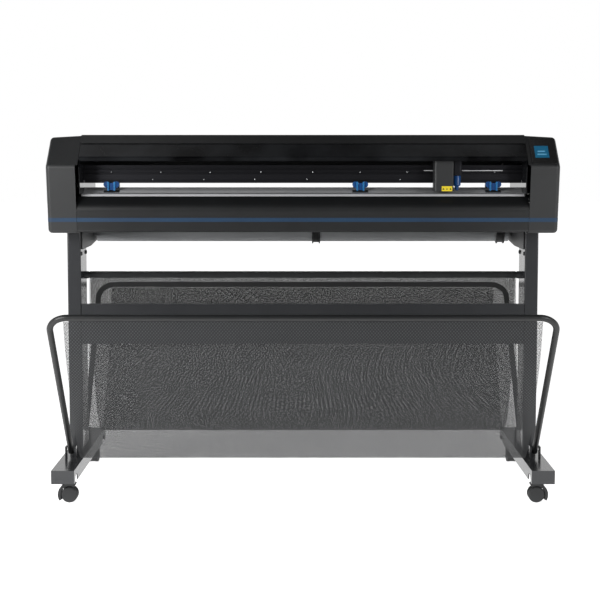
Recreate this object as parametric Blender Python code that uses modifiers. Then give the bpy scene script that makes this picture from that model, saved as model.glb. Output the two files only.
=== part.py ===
"""Stand-mounted vinyl cutter: head, tool carriage, media drive, stand, net baskets and casters.

Metres, +Z up, the operator's side towards -Y, +X to the right.
The origin is on the floor, under the middle of the machine.
"""
import math

import bmesh
import bpy
from mathutils import Matrix, Vector

# Head
HEAD_HALF = 0.790            # half of the overall width
COVER_INNER = 0.6922         # where each end cover starts
PLATE_INNER = 0.6885         # inner face of each side plate
PLATE = 0.003
SPAN_HALF = 0.6882           # what is held between the side plates
COVER_WALL = 0.003
SHEET = 0.002
FRONT_FOOT = (-0.180, 0.819)     # lower front edge of the head (y, z)
NOSE = (-0.217, 1.0245)
TOP_FRONT = (-0.112, 1.117)
TOP_REAR = (0.140, 1.117)
REAR_SHOULDER = (0.190, 1.070)
REAR_FOOT = (0.190, 0.835)
COVER_BOTTOM = 0.816
VISOR_TOP = (-0.1430, 1.0906)    # just proud of the slope from the nose to the top
VISOR_LIP = (-0.1888, 1.0510)
VISOR_FOOT = (-0.1906, 1.0390)
TABLE_NOSE = (-0.1610, 0.9312)
BASE_BOTTOM = 0.8305

# Media path
DRUM_Y, DRUM_Z, DRUM_R, SHAFT_R = -0.070, 0.9413, 0.0125, 0.006
WHEEL_R = 0.008
BEAM_FRONT, BEAM_BACK = -0.097, -0.040
BEAM_TOP, BEAM_LIP, BEAM_UNDER = 1.0261, 0.9697, 0.9791
UPPER_GROOVE, LOWER_GROOVE, GROOVE_DEPTH = (1.0104, 1.0167), (0.9979, 1.0042), 0.0075
PINCH_X = (-0.600, 0.180, 0.597)
PINCH_PIVOT = (-0.1085, 0.9720)
LOBE_X, LOBE_Z, LOBE_R = 0.0155, 0.9655, 0.0095   # round ends of each grip

# Carriage and its belt
CARRIAGE_X = 0.456
TOOL_X, TOOL_Y = 0.4800, -0.133
PULLEY_X, PULLEY_Y, PULLEY_Z, PULLEY_R = 0.660, -0.029, 1.011, 0.0093
BELT_R, BELT = 0.0105, 0.0012

# Media drive gears
GEAR_TEETH, PINION_TEETH, MODULE = 36, 12, 0.00165
GEAR_X = (0.6945, 0.7065)
PINION_ANGLE = math.radians(-30.0)   # from the drum towards the pinion, above +Y

# Stand
LEG_X, LEG_HALF, LEG_DEPTH = 0.7265, 0.0215, 0.069
FOOT_X, FOOT_HALF, FOOT_LENGTH = 0.725, 0.035, 0.377
FOOT_BOTTOM, FOOT_TOP = 0.068, 0.109
WALL = 0.003
CROSS_LOW, CROSS_HIGH = 0.457, 0.585
CROSS_FRONT, CROSS_BACK = -0.069, -0.045
BAR_Z, BAR_R = 0.673, 0.010
GAP = 0.0003

# Basket frames and the net
TUBE_R = 0.0095
FRAME_X = 0.7295
PIVOT_Y, PIVOT_Z = 0.169, 0.134
RAIL_Y, RAIL_Z = 0.581, 0.594
CORNER_R = 0.055
NET_HALF, NET = 0.686, 0.002
NET_KNOTS = ((0.0122, 0.673), (0.022, 0.560), (0.040, 0.440), (0.090, 0.300), (0.160, 0.180),
             (0.245, 0.124), (0.335, 0.180), (0.420, 0.290), (0.485, 0.385), (0.536, 0.470),
             (0.566, 0.540), (0.580, 0.583))     # (distance from the middle, z), bar to rail

# Roll rollers behind the head
ROLLER_Y = (0.245, 0.345)
ROLLER_Z, ROLLER_R, JOURNAL_R = 0.793, 0.025, 0.008
FLANGE_X = (0.045, 0.664)

# Casters
CASTER_X, CASTER_Y, TRAIL = 0.725, 0.308, 0.012
CASTER_R = 0.025

RIGHT_PLANE = Matrix(((0, 0, 1, 0), (1, 0, 0, 0), (0, 1, 0, 0), (0, 0, 0, 1)))   # outline in YZ
FRONT_PLANE = Matrix(((1, 0, 0, 0), (0, 0, -1, 0), (0, 1, 0, 0), (0, 0, 0, 1)))  # outline in XZ


def clear_scene():
    for obj in list(bpy.data.objects):
        bpy.data.objects.remove(obj, do_unlink=True)


def collection(name):
    group = bpy.data.collections.new(name)
    bpy.context.scene.collection.children.link(group)
    return group


def finish(name, color, roughness, metallic=0.0):
    mat = bpy.data.materials.new(name)
    mat.use_nodes = True
    shader = mat.node_tree.nodes["Principled BSDF"]
    shader.inputs["Base Color"].default_value = (*color, 1.0)
    shader.inputs["Roughness"].default_value = roughness
    shader.inputs["Metallic"].default_value = metallic
    return mat


clear_scene()
PARTS = collection("vinyl_cutter")
CUTTERS = collection("cutters")
BLACK = finish("black_plastic", (0.030, 0.031, 0.033), 0.42)
GLOSS = finish("smoked_plastic", (0.045, 0.047, 0.050), 0.18)
PAINT = finish("black_powder_coat", (0.040, 0.040, 0.042), 0.45)
ANODISED = finish("black_anodised", (0.028, 0.028, 0.030), 0.35, 0.6)
ALUMINIUM = finish("satin_aluminium", (0.62, 0.63, 0.64), 0.35, 1.0)
STEEL = finish("ground_steel", (0.58, 0.58, 0.60), 0.28, 1.0)
BLUE = finish("blue_plastic", (0.012, 0.085, 0.310), 0.35)
RUBBER = finish("black_rubber", (0.020, 0.020, 0.021), 0.80)
NET_BLACK = finish("net_black", (0.035, 0.035, 0.036), 0.85)
GLASS = finish("display_glass", (0.006, 0.006, 0.008), 0.06)
BOARD = finish("circuit_board", (0.010, 0.100, 0.045), 0.50)


def place(obj, mat, group=None):
    (group or PARTS).objects.link(obj)
    if mat:
        obj.data.materials.append(mat)
    return obj


def from_bmesh(name, bm, mat, pivot=(0, 0, 0), group=None):
    """Makes an object whose origin is at pivot from a bmesh in world coordinates."""
    bmesh.ops.translate(bm, verts=bm.verts, vec=-Vector(pivot))
    mesh = bpy.data.meshes.new(name)
    bm.to_mesh(mesh)
    bm.free()
    obj = bpy.data.objects.new(name, mesh)
    obj.location = pivot
    return place(obj, mat, group)


def as_cutter(obj):
    """Turns an object into a guide that only other objects' Booleans use."""
    for group in list(obj.users_collection):
        group.objects.unlink(obj)
    CUTTERS.objects.link(obj)
    obj.hide_render = True
    obj.display_type = 'WIRE'
    return obj


def combine(target, other, operation='DIFFERENCE'):
    mod = target.modifiers.new(f"{operation.lower()}_{other.name}", 'BOOLEAN')
    mod.operation = operation
    mod.solver = 'EXACT'
    mod.object = as_cutter(other)
    return target


def bevel(obj, width, segments=1, angle=40.0):
    mod = obj.modifiers.new("edges", 'BEVEL')
    mod.width = width
    mod.segments = segments
    mod.limit_method = 'ANGLE'
    mod.angle_limit = math.radians(angle)
    return obj


def box(name, low, high, mat, pivot=(0, 0, 0), edge=0.0):
    low, high = Vector(low), Vector(high)
    size = Matrix.Diagonal((*(high - low), 1.0))
    bm = bmesh.new()
    bmesh.ops.create_cube(bm, size=1.0, matrix=Matrix.Translation((low + high) / 2) @ size)
    obj = from_bmesh(name, bm, mat, pivot)
    return bevel(obj, edge) if edge else obj


def rod(name, start, end, radius, mat, sides=24, pivot=(0, 0, 0)):
    start, end = Vector(start), Vector(end)
    turn = (end - start).to_track_quat('Z', 'Y').to_matrix().to_4x4()
    bm = bmesh.new()
    bmesh.ops.create_cone(bm, cap_ends=True, segments=sides, radius1=radius, radius2=radius,
                          depth=(end - start).length,
                          matrix=Matrix.Translation((start + end) / 2) @ turn)
    obj = from_bmesh(name, bm, mat, pivot)
    obj.data.shade_smooth()
    obj.data.set_sharp_from_angle(angle=math.radians(35))
    return obj


def fillet(points, radii, steps=4):
    """Rounds the corners of a closed outline; radii gives one radius for each corner."""
    result = []
    count = len(points)
    for index, radius in enumerate(radii):
        corner = Vector(points[index])
        before = (Vector(points[index - 1]) - corner).normalized()
        after = (Vector(points[(index + 1) % count]) - corner).normalized()
        if radius <= 0:
            result.append(tuple(corner))
            continue
        half = before.angle(after) / 2
        middle = corner + (before + after).normalized() * radius / math.sin(half)
        first = corner + before * radius / math.tan(half) - middle
        last = corner + after * radius / math.tan(half) - middle
        sweep = first.angle(last)
        side = 1 if first.x * last.y - first.y * last.x > 0 else -1
        for step in range(steps + 1):
            turn = Matrix.Rotation(side * sweep * step / steps, 2)
            result.append(tuple(middle + turn @ first))
    return result


def outline_solid(name, loops, plane, low, high, mat, pivot=(0, 0, 0)):
    """Extrudes a flat outline, whose later loops are holes, from low to high along its normal."""
    curve = bpy.data.curves.new(name, 'CURVE')
    curve.dimensions = '2D'
    curve.fill_mode = 'BOTH'
    curve.extrude = (high - low) / 2
    for loop in loops:
        spline = curve.splines.new('POLY')
        spline.points.add(len(loop) - 1)
        spline.use_cyclic_u = True
        for point, (u, v) in zip(spline.points, loop):
            point.co = (u, v, 0, 1)
    draft = bpy.data.objects.new(name + "_draft", curve)
    place(draft, None)
    draft.matrix_world = plane @ Matrix.Translation((0, 0, (low + high) / 2))
    return meshed(draft, name, mat, pivot)


def meshed(draft, name, mat, pivot=(0, 0, 0)):
    """Replaces a curve by a welded mesh, so that a Boolean can take it."""
    bpy.context.view_layer.update()
    evaluated = draft.evaluated_get(bpy.context.evaluated_depsgraph_get())
    mesh = bpy.data.meshes.new_from_object(evaluated)
    bm = bmesh.new()
    bm.from_mesh(mesh)
    bmesh.ops.transform(bm, matrix=draft.matrix_world, verts=bm.verts)
    bmesh.ops.remove_doubles(bm, verts=bm.verts, dist=0.00001)
    bmesh.ops.recalc_face_normals(bm, faces=bm.faces)
    bpy.data.meshes.remove(mesh)
    bpy.data.objects.remove(draft, do_unlink=True)
    return from_bmesh(name, bm, mat, pivot)


def solidify(obj, thickness, offset):
    mod = obj.modifiers.new("wall", 'SOLIDIFY')
    mod.thickness = thickness
    mod.offset = offset
    mod.use_even_offset = True
    return obj


def strip(name, path, low, high, thickness, mat, outward=None, pivot=(0, 0, 0)):
    """Bends a sheet along a (y, z) path, from x = low to x = high.

    With outward, the path is the sheet's outer surface, and its first leg faces that way.
    """
    bm = bmesh.new()
    verts = [bm.verts.new((low, y, z)) for y, z in path]
    edges = [bm.edges.new(pair) for pair in zip(verts, verts[1:])]
    grown = bmesh.ops.extrude_edge_only(bm, edges=edges)["geom"]
    moved = [item for item in grown if isinstance(item, bmesh.types.BMVert)]
    bmesh.ops.translate(bm, verts=moved, vec=(high - low, 0, 0))
    bm.normal_update()
    middle = (Vector(path[0]) + Vector(path[1])) / 2
    first = min(bm.faces, key=lambda face: (face.calc_center_median().yz - middle).length)
    if outward and first.normal.dot(Vector((0, *outward))) < 0:
        bmesh.ops.reverse_faces(bm, faces=bm.faces)
    obj = from_bmesh(name, bm, mat, pivot)
    return solidify(obj, thickness, -1 if outward else 0)


def turned(name, profile, centre, axis, mat, closed=False, steps=24):
    """Spins a profile of (radius, height) points about a row axis through centre."""
    bm = bmesh.new()
    verts = [bm.verts.new((radius, 0, height)) for radius, height in profile]
    for pair in zip(verts, verts[1:]):
        bm.edges.new(pair)
    if closed:
        bm.edges.new((verts[-1], verts[0]))
    mesh = bpy.data.meshes.new(name)
    bm.to_mesh(mesh)
    bm.free()
    obj = place(bpy.data.objects.new(name, mesh), mat)
    obj.location = centre
    obj.rotation_euler = {'X': (0, math.pi / 2, 0), 'Y': (-math.pi / 2, 0, 0), 'Z': (0, 0, 0)}[axis]
    mod = obj.modifiers.new("spin", 'SCREW')
    mod.steps = steps
    mod.render_steps = steps
    mod.use_merge_vertices = True
    mod.merge_threshold = 0.00002
    return obj


def smooth_path(points, spacing=0.02):
    """Reads points about every spacing from a smooth curve through the given ones."""
    knots = [Vector(p) for p in points]
    knots = [2 * knots[0] - knots[1], *knots, 2 * knots[-1] - knots[-2]]
    result = []
    for a, b, c, d in zip(knots, knots[1:], knots[2:], knots[3:]):
        pieces = max(2, round((c - b).length / spacing))
        for step in range(pieces):
            t = step / pieces
            result.append(0.5 * (2 * b + (c - a) * t + (2 * a - 5 * b + 4 * c - d) * t * t
                                 + (3 * b - a - 3 * c + d) * t ** 3))
    result.append(knots[-2])
    return [tuple(p) for p in result]


def circle(centre, radius, sides=16):
    """Gives the corners of a round hole for an outline."""
    return [(centre[0] + radius * math.cos(a), centre[1] + radius * math.sin(a))
            for a in (math.tau * i / sides for i in range(sides))]


def mirrored(side, low, high):
    """Gives the x range low..high of the right side, or its mirror on the left."""
    return (low, high) if side > 0 else (-high, -low)


def base_beam():
    beam = box("base_beam", (-0.755, -0.060, BASE_BOTTOM), (0.755, 0.080, 0.880), ALUMINIUM)
    hollow = box("base_hollow", (-0.800, -0.060 + WALL, BASE_BOTTOM + WALL),
                 (0.800, 0.080 - WALL, 0.880 - WALL), None)
    combine(beam, hollow)


def side_plates():
    inset = [(-0.166, 0.8805), (-0.186, 0.8960), (-0.1515, 0.9300), (-0.1515, 0.9370),
             (-0.178, 0.9370), (-0.196, 1.020), (-0.184, 1.044), (-0.106, 1.109), (0.136, 1.109),
             (0.183, 1.066), (0.183, 0.8805)]
    hole = circle((DRUM_Y, DRUM_Z), SHAFT_R + 2 * GAP)
    for side, name in ((-1, "left_side_plate"), (1, "right_side_plate")):
        low, high = mirrored(side, PLATE_INNER, PLATE_INNER + PLATE)
        plate = outline_solid(name, [inset, hole], RIGHT_PLANE, low, high, ALUMINIUM)
        if side > 0:
            shaft = pinion_centre()
            combine(plate, rod("pinion_hole", (0.680, *shaft), (0.700, *shaft), 0.0125, None))


def end_cover(side, name):
    """One moulded end housing: the head's full section, open towards the middle."""
    outline = fillet([(FRONT_FOOT[0], COVER_BOTTOM), NOSE, TOP_FRONT, TOP_REAR, REAR_SHOULDER,
                      (REAR_FOOT[0], COVER_BOTTOM)],
                     [0.014, 0.012, 0.012, 0.014, 0.014, 0.016])
    inner, outer = side * COVER_INNER, side * HEAD_HALF
    bm = bmesh.new()
    verts = [bm.verts.new((inner, y, z)) for y, z in outline]
    edges = [bm.edges.new((verts[i - 1], verts[i])) for i in range(len(verts))]
    grown = bmesh.ops.extrude_edge_only(bm, edges=edges)["geom"]
    far = [item for item in grown if isinstance(item, bmesh.types.BMVert)]
    bmesh.ops.translate(bm, verts=far, vec=(outer - inner, 0, 0))
    rim = [item for item in grown if isinstance(item, bmesh.types.BMEdge)
           and all(abs(v.co.x - outer) < 1e-6 for v in item.verts)]
    bmesh.ops.contextual_create(bm, geom=rim)
    bmesh.ops.recalc_face_normals(bm, faces=bm.faces)
    cap = max(bm.faces, key=lambda face: len(face.verts))
    if cap.normal.x * side < 0:
        bmesh.ops.reverse_faces(bm, faces=bm.faces)
    cover = from_bmesh(name, bm, BLACK)
    bevel(cover, 0.010, 3, 60)
    solidify(cover, COVER_WALL, -1)
    low, high = mirrored(side, LEG_X - LEG_HALF - 0.004, LEG_X + LEG_HALF + 0.004)
    combine(cover, box(name + "_leg_hole", (low, -0.073, 0.800), (high, 0.073, 0.8285), None))
    low, high = mirrored(side, 0.600, 0.7565)
    combine(cover, box(name + "_beam_room", (low, -0.062, 0.8225), (high, 0.082, 0.8825), None))
    return cover


def end_covers():
    end_cover(-1, "left_end_cover")
    right = end_cover(1, "right_end_cover")
    combine(right, box("inlet_hole", (0.7296, 0.170, 0.8796), (0.7584, 0.200, 0.9004), None))
    combine(right, box("switch_hole", (0.7335, 0.170, 0.9095), (0.7545, 0.200, 0.9305), None))


def outer_panels():
    width = COVER_INNER - 0.0007
    strip("top_cover", [(-0.1417, 1.0917), TOP_FRONT, TOP_REAR, REAR_SHOULDER, (0.190, 0.990)],
          -width, width, 0.003, BLACK, outward=(-0.6, 0.8))
    strip("front_visor", [VISOR_TOP, VISOR_LIP, VISOR_FOOT],
          -width, width, 0.003, GLOSS, outward=(-0.6, 0.8))
    strip("front_apron", [(-0.1630, 0.9287), (-0.1942, 0.898), FRONT_FOOT, (-0.065, 0.819)],
          -width, width, SHEET, BLACK, outward=(-0.7, 0.7))
    strip("rear_panel", [(0.190, 0.940), REAR_FOOT, (0.174, 0.819), (0.085, 0.819)],
          -width, width, SHEET, BLACK, outward=(1, 0))


def platen():
    table = strip("platen", [TABLE_NOSE, (-0.1545, 0.9368), (-0.112, 0.9400), (-0.085, 0.9538),
                             (0.050, 0.9538), (0.175, 0.9430)],
                  -SPAN_HALF, SPAN_HALF, 0.003, ALUMINIUM, outward=(-0.1, 1))
    combine(table, box("drum_slot", (-0.664, -0.0834, 0.930), (0.664, -0.0566, 0.960), None))


def guide_beam():
    """Aluminium extrusion with two front grooves and a lip that hangs over the media slot."""
    face, back = BEAM_FRONT, BEAM_FRONT + GROOVE_DEPTH
    outline = [(face, BEAM_TOP)]
    for low, high in (UPPER_GROOVE, LOWER_GROOVE):
        outline += [(face, high), (back, high), (back, low), (face, low)]
    outline += [(face, BEAM_UNDER), (back, BEAM_UNDER), (back, BEAM_LIP), (-0.0865, BEAM_LIP),
                (-0.0865, BEAM_UNDER), (BEAM_BACK, BEAM_UNDER), (BEAM_BACK, BEAM_TOP)]
    hollow = [(-0.0855, 0.983), (-0.044, 0.983), (-0.044, 1.022), (-0.0855, 1.022)]
    outline_solid("y_beam", [outline, hollow], RIGHT_PLANE, -SPAN_HALF, SPAN_HALF, ANODISED)


def belt_drive():
    """Timing belt behind the beam, its two pulleys and the motor that turns one of them."""
    def stadium(radius):
        right = [(PULLEY_X + radius * math.sin(a), PULLEY_Z - radius * math.cos(a))
                 for a in (math.pi * i / 10 for i in range(11))]
        left = [(-u, 2 * PULLEY_Z - v) for u, v in right]
        return right + left
    width = 0.005
    outline_solid("drive_belt", [stadium(BELT_R + BELT / 2), stadium(BELT_R - BELT / 2)],
                  FRONT_PLANE, -PULLEY_Y - width, -PULLEY_Y + width, RUBBER)
    pulley = [(0, 0.0056), (PULLEY_R, 0.0056), (PULLEY_R, -0.0056), (0.0025, -0.0056),
              (0.0025, -0.0102), (0, -0.0102)]
    for side, name in ((-1, "idler_pulley"), (1, "drive_pulley")):
        mirrored_profile = [(radius, -height) for radius, height in reversed(pulley)]
        turned(name, mirrored_profile, (side * PULLEY_X, PULLEY_Y, PULLEY_Z), 'Y', STEEL, steps=20)
    box("y_motor", (PULLEY_X - 0.021, -0.0185, PULLEY_Z - 0.021),
        (PULLEY_X + 0.021, 0.0350, PULLEY_Z + 0.021), BLACK, edge=0.003)


def pinion_centre():
    reach = MODULE * (GEAR_TEETH + PINION_TEETH) / 2 + 0.0006
    return (DRUM_Y + reach * math.cos(PINION_ANGLE), DRUM_Z + reach * math.sin(PINION_ANGLE))


def gear_outline(teeth, centre, phase):
    """A spur gear with straight-sided teeth; phase turns its first tooth from +Y."""
    pitch = MODULE * teeth / 2
    points = []
    for tooth in range(teeth):
        for share, radius in ((-0.30, pitch - 1.1 * MODULE), (-0.12, pitch + 0.85 * MODULE),
                              (0.12, pitch + 0.85 * MODULE), (0.30, pitch - 1.1 * MODULE)):
            angle = phase + math.tau * (tooth + share) / teeth
            points.append((centre[0] + radius * math.cos(angle),
                           centre[1] + radius * math.sin(angle)))
    return points


def media_drive():
    """Full-width drum under the pinch wheels, its gear, and the motor with the pinion."""
    end = 0.660
    profile = [(0, 0.7070), (SHAFT_R, 0.7070), (SHAFT_R, end), (DRUM_R, end), (DRUM_R, -end),
               (SHAFT_R, -end), (SHAFT_R, -0.6905), (0, -0.6905)]
    turned("drive_drum", profile, (0, DRUM_Y, DRUM_Z), 'X', STEEL, steps=24)
    bore = circle((DRUM_Y, DRUM_Z), SHAFT_R + GAP)
    outline_solid("drum_gear", [gear_outline(GEAR_TEETH, (DRUM_Y, DRUM_Z), PINION_ANGLE), bore],
                  RIGHT_PLANE, *GEAR_X, STEEL, pivot=(0, DRUM_Y, DRUM_Z))
    centre = pinion_centre()
    facing = PINION_ANGLE + math.pi * (1 + 1 / PINION_TEETH)
    pinion = outline_solid("motor_pinion", [gear_outline(PINION_TEETH, centre, facing)],
                           RIGHT_PLANE, *GEAR_X, STEEL, pivot=(0, *centre))
    combine(pinion, rod("pinion_shaft", (0.6870, *centre), (0.7000, *centre), 0.003, None, 12),
            'UNION')
    y, z = centre
    box("x_motor", (0.630, y - 0.021, z - 0.021), (0.6865, y + 0.021, z + 0.021), BLACK, edge=0.003)


def electronics():
    board = box("control_board", (-0.7460, -0.050, 0.900), (-0.7440, 0.120, 1.050), BOARD)
    for index, (y, z, tall) in enumerate(((-0.02, 0.93, 0.004), (0.05, 0.95, 0.012),
                                          (0.03, 1.01, 0.006), (0.09, 1.02, 0.014))):
        chip = box(f"chip_{index}", (-0.7445, y, z), (-0.7440 + tall, y + 0.022, z + 0.018), None)
        combine(board, chip, 'UNION')
    inlet = box("power_inlet", (0.7300, 0.150, 0.8800), (0.7580, 0.1899, 0.9000), BLACK)
    combine(inlet, box("inlet_socket", (0.7330, 0.1650, 0.8830), (0.7550, 0.2000, 0.8970), None))
    rocker = [(-0.0085, -0.0090), (0.0020, -0.0090), (0.0005, 0.0), (0.0035, 0.0085),
              (-0.0085, 0.0085)]
    y, z = 0.1875, 0.920
    outline_solid("power_switch", [[(y + u, z + v) for u, v in rocker]], RIGHT_PLANE,
                  0.7345, 0.7535, BLACK, pivot=(0.744, 0.183, z))


def touch_glass():
    """Display window on the right cover's slope, just proud of it."""
    slope = (Vector(TOP_FRONT) - Vector(NOSE)).normalized()
    out = Vector((-slope.y, slope.x))
    base = Vector(NOSE) + out * GAP
    corners = [base + slope * 0.0085, base + slope * 0.1265,
               base + slope * 0.1265 + out * 0.0015, base + slope * 0.0085 + out * 0.0015]
    outline_solid("touch_glass", [[tuple(c) for c in corners]], RIGHT_PLANE, 0.703, 0.783, GLASS)


def carriage():
    x = CARRIAGE_X
    body = box("carriage_body", (x - 0.048, -0.1120, 0.9800), (x + 0.042, -0.1003, 1.0480),
               ANODISED)
    combine(body, box("carriage_shelf", (x - 0.026, -0.1050, 1.0300), (x + 0.026, -0.0225, 1.0360),
                      None), 'UNION')
    combine(body, box("belt_lug", (x - 0.015, -0.0345, 1.0235), (x + 0.015, -0.0225, 1.0310),
                      None), 'UNION')
    cover = box("carriage_cover", (x - 0.0495, -0.1680, 0.9443), (x + 0.011, -0.1145, 1.0400),
                BLACK, edge=0.004)
    combine(cover, box("cover_room", (x - 0.0470, -0.1655, 0.9468), (x + 0.0085, -0.1000, 1.0375),
                       None))
    holder = box("tool_holder", (TOOL_X - 0.0115, -0.1500, 0.9935), (TOOL_X + 0.0115, -0.1145,
                                                                     1.0450), ANODISED, edge=0.002)
    combine(holder, rod("tool_bore", (TOOL_X, TOOL_Y, 0.960), (TOOL_X, TOOL_Y, 1.060), 0.0078,
                        None))
    profile = [(0, 1.020), (0.0055, 1.020), (0.0075, 1.016), (0.0075, 0.9930), (0.0120, 0.9925),
               (0.0120, 0.9630), (0.0060, 0.9590), (0.0045, 0.9480), (0.0012, 0.9465), (0, 0.9465)]
    turned("blade_holder", profile, (TOOL_X, TOOL_Y, 0), 'Z', BLUE, steps=20)


def pinch_units():
    """Three sprung arms; each carries a pair of wheels over the drum and a blue two-lobed grip."""
    y, z = PINCH_PIVOT
    wheel_z = DRUM_Z + DRUM_R + GAP + WHEEL_R
    for number, x in enumerate(PINCH_X, start=1):
        right = [(x + LOBE_X + LOBE_R * math.cos(a), LOBE_Z + LOBE_R * math.sin(a))
                 for a in (math.radians(30 * step - 60) for step in range(9))]
        left = [(2 * x - u, v) for u, v in reversed(right)]
        outline = [(x + 0.0070, 0.9480), *right, (x + 0.0060, 0.9700), (x - 0.0060, 0.9700), *left,
                   (x - 0.0070, 0.9480)]
        arm = outline_solid(f"pinch_arm_{number}", [outline], FRONT_PLANE, 0.1040, 0.1130, BLUE,
                            pivot=(x, y, z))
        bar = box(f"arm_bar_{number}", (x - 0.0055, -0.1060, 0.9575), (x + 0.0055, -0.0645, 0.9665),
                  None)
        combine(arm, bar, 'UNION')
        combine(arm, rod(f"arm_bore_{number}", (x - 0.01, DRUM_Y, wheel_z),
                         (x + 0.01, DRUM_Y, wheel_z), 0.0028, None, 12))
        half, gap, axle = 0.021, 0.0062, 0.0022
        profile = [(0, half), (WHEEL_R, half), (WHEEL_R, gap), (axle, gap), (axle, -gap),
                   (WHEEL_R, -gap), (WHEEL_R, -half), (0, -half)]
        turned(f"pinch_wheel_{number}", profile, (x, DRUM_Y, wheel_z), 'X', RUBBER, steps=20)


def stand():
    for side, word in ((-1, "left"), (1, "right")):
        low, high = mirrored(side, LEG_X - LEG_HALF, LEG_X + LEG_HALF)
        leg = box(f"{word}_leg", (low, -LEG_DEPTH, FOOT_TOP + GAP),
                  (high, LEG_DEPTH, BASE_BOTTOM - GAP), PAINT)
        bevel(leg, 0.003)
        combine(leg, box(f"{word}_leg_hollow", (low + WALL, -LEG_DEPTH + WALL, 0.05),
                         (high - WALL, LEG_DEPTH - WALL, 0.90), None))
        foot(side, word)
        roller_bracket(side, word)
    beam = box("cross_beam", (-LEG_X + LEG_HALF + GAP, CROSS_FRONT, CROSS_LOW),
               (LEG_X - LEG_HALF - GAP, CROSS_BACK, CROSS_HIGH), PAINT)
    combine(beam, box("cross_hollow", (-0.8, CROSS_FRONT + SHEET, CROSS_LOW + SHEET),
                      (0.8, CROSS_BACK - SHEET, CROSS_HIGH - SHEET), None))
    end, cap = LEG_X - LEG_HALF - GAP, 0.016
    profile = [(0, end), (0.012, end), (0.012, end - cap), (BAR_R, end - cap),
               (BAR_R, cap - end), (0.012, cap - end), (0.012, -end), (0, -end)]
    turned("roller_bar", profile, (0, 0, BAR_Z), 'X', PAINT, steps=20)


def foot(side, word):
    """Inverted channel with closed ends, wheel arches and the lugs of both basket frames."""
    low, high = mirrored(side, FOOT_X - FOOT_HALF, FOOT_X + FOOT_HALF)
    channel = box(f"{word}_foot", (low, -FOOT_LENGTH, FOOT_BOTTOM), (high, FOOT_LENGTH, FOOT_TOP),
                  PAINT)
    combine(channel, box(f"{word}_foot_hollow", (low + WALL, -FOOT_LENGTH + WALL, 0.0),
                         (high - WALL, FOOT_LENGTH - WALL, FOOT_TOP - WALL), None))
    for end in (-1, 1):
        arch = (side * 0.6955, end * 0.328, FOOT_BOTTOM - 0.004)
        combine(channel, rod(f"{word}_arch_{end}", (side * 0.680, *arch[1:]), arch, 0.028, None))
        for number, lug_x in enumerate((FRAME_X - 0.0150, FRAME_X + 0.0150)):
            near, far = mirrored(side, lug_x - 0.002, lug_x + 0.002)
            y = end * PIVOT_Y
            lug = box(f"{word}_lug_{end}_{number}", (near, y - 0.013, FOOT_TOP - 0.001),
                      (far, y + 0.013, PIVOT_Z + 0.012), None)
            combine(channel, lug, 'UNION')
        hole_x = mirrored(side, FRAME_X - 0.022, FRAME_X + 0.022)
        combine(channel, rod(f"{word}_pin_hole_{end}", (hole_x[0], end * PIVOT_Y, PIVOT_Z),
                             (hole_x[1], end * PIVOT_Y, PIVOT_Z), 0.0046, None, 12))


def basket_frame(name, side):
    """U-shaped tube that leans away from the legs, with a pivot pin through each lower end."""
    lean = Vector((0, side * (RAIL_Y - PIVOT_Y), RAIL_Z - PIVOT_Z)).normalized()
    foot_point = Vector((FRAME_X, side * PIVOT_Y, PIVOT_Z)) - lean * 0.010
    corner = Vector((FRAME_X, side * RAIL_Y, RAIL_Z))
    centre = corner - lean * CORNER_R - Vector((CORNER_R, 0, 0))
    half = [foot_point + (corner - lean * CORNER_R - foot_point) * t for t in (0, 0.25, 0.5, 0.75)]
    for step in range(8):
        angle = math.pi / 2 * step / 7
        half.append(centre + Vector((CORNER_R * math.cos(angle), 0, 0))
                    + lean * CORNER_R * math.sin(angle))
    half += [Vector((x, corner.y, corner.z)) for x in (0.45, 0.20)]
    points = half + [Vector((-p.x, p.y, p.z)) for p in reversed(half)]
    curve = bpy.data.curves.new(name, 'CURVE')
    curve.dimensions = '3D'
    curve.bevel_depth = TUBE_R
    curve.bevel_resolution = 3
    curve.use_fill_caps = True
    spline = curve.splines.new('POLY')
    spline.points.add(len(points) - 1)
    for knot, point in zip(spline.points, points):
        knot.co = (*point, 1)
    draft = place(bpy.data.objects.new(name + "_draft", curve), None)
    pivot = (0, side * PIVOT_Y, PIVOT_Z)
    frame = meshed(draft, name, PAINT, pivot)
    for end in (-1, 1):
        pin = rod(f"{name}_pin_{end}", (end * (FRAME_X - 0.020), *pivot[1:]),
                  (end * (FRAME_X + 0.020), *pivot[1:]), 0.004, None, 12)
        combine(frame, pin, 'UNION')
    return frame


def net_panels():
    """The net hangs over the bar and from both rails; each basket has an inner and outer wall."""
    wrap = [(0.0122 * math.sin(a), BAR_Z + 0.0122 * math.cos(a))
            for a in (math.radians(d) for d in (3, 25, 45, 68))]
    path = wrap + smooth_path(NET_KNOTS, 0.045)
    lowest = min(range(len(path)), key=lambda index: path[index][1])
    y, z = path[lowest]
    level = 0.006
    inner = path[:lowest] + [(y - level, z), (y - GAP, z)]
    outer = [(y + GAP, z), (y + level, z)] + path[lowest + 1:]
    for side, word in ((-1, "front"), (1, "rear")):
        pivot = (0, side * PIVOT_Y, PIVOT_Z)
        for name, wall, origin in ((f"net_{word}_inner", inner, (0, 0, 0)),
                                   (f"net_{word}_outer", outer, pivot)):
            strip(name, [(side * y, z) for y, z in wall], -NET_HALF, NET_HALF, NET, NET_BLACK,
                  pivot=origin)


def roller_bracket(side, word):
    """Plate on the leg's inner face that reaches back under the two roll rollers."""
    outline = fillet([(-0.060, 0.758), (0.150, 0.758), (0.385, 0.775), (0.385, 0.812),
                      (-0.060, 0.8150)], [0.006, 0.020, 0.012, 0.012, 0.006], 3)
    holes = [circle((y, ROLLER_Z), JOURNAL_R + 2 * GAP) for y in ROLLER_Y]
    low, high = mirrored(side, 0.7007, 0.7047)
    outline_solid(f"{word}_roller_bracket", [outline, *holes], RIGHT_PLANE, low, high, PAINT)


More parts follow.
